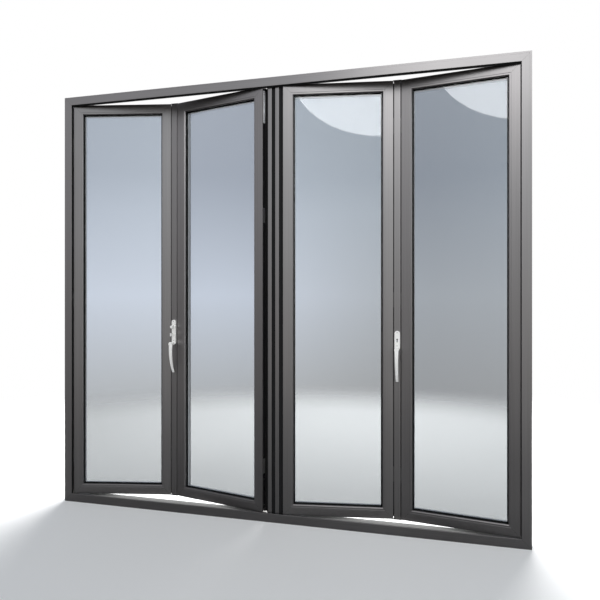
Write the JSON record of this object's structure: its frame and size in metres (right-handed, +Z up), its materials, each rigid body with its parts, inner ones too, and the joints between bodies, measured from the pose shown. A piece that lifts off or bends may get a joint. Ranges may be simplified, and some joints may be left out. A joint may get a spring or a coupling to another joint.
{
  "type": "bifold glass patio door",
  "caption": "Glazed aluminium folding patio door in a mitred frame, its pairs of leaves half folded either side of a centre post, with crescent lever handles.",
  "frame": {"origin": "middle of the sill's flat underside", "axes": "+X to the right along the sill seen from the handle side, +Y to the side the leaves fold out to, +Z up"},
  "size_m": [2.606, 0.2016, 2.4],
  "materials": {
    "frame": "satin anodised",
    "glass": "clear float glass",
    "seal": "matt black rubber",
    "spacer": "black anodised",
    "handle": "satin nickel",
    "steel": "brushed stainless",
    "hardware": "dark grey coating"
  },
  "bodies": {
    "root": {"centre_post": "frame", "centre_post_seals": "seal", "floor_guides": "hardware", "flush_bolts": "steel", "fold_post_caps": "hardware", "fold_seals": "seal", "frame_head": "frame", "frame_left_jamb": "frame", "frame_right_jamb": "frame", "frame_seals": "seal", "frame_sill": "frame", "glass_spacers": "spacer", "glazing_seals": "seal", "hanger_wheels": "steel", "hangers": "hardware", "head_track": "frame", "leaf_1_beads": "frame", "leaf_1_bottom_rail": "frame", "leaf_1_glass": "glass", "leaf_1_left_stile": "frame", "leaf_1_right_stile": "frame", "leaf_1_top_rail": "frame", "leaf_2_beads": "frame", "leaf_2_bottom_rail": "frame", "leaf_2_glass": "glass", "leaf_2_left_stile": "frame", "leaf_2_right_stile": "frame", "leaf_2_top_rail": "frame", "leaf_3_beads": "frame", "leaf_3_bottom_rail": "frame", "leaf_3_glass": "glass", "leaf_3_left_stile": "frame", "leaf_3_right_stile": "frame", "leaf_3_top_rail": "frame", "leaf_4_beads": "frame", "leaf_4_bottom_rail": "frame", "leaf_4_glass": "glass", "leaf_4_left_stile": "frame", "leaf_4_right_stile": "frame", "leaf_4_top_rail": "frame", "left_fold_hinges": "hardware", "left_fold_post": "frame", "left_handle_lever": "handle", "left_handle_plate": "handle", "left_jamb_hinges": "hardware", "left_key_cylinder": "handle", "left_thumb_turn": "handle", "lock_keeps": "hardware", "lock_plates": "hardware", "meeting_seals": "seal", "right_fold_hinges": "hardware", "right_fold_post": "frame", "right_handle_lever": "handle", "right_handle_plate": "handle", "right_jamb_hinges": "hardware", "sill_track": "steel"}
  },
  "joints": []
}
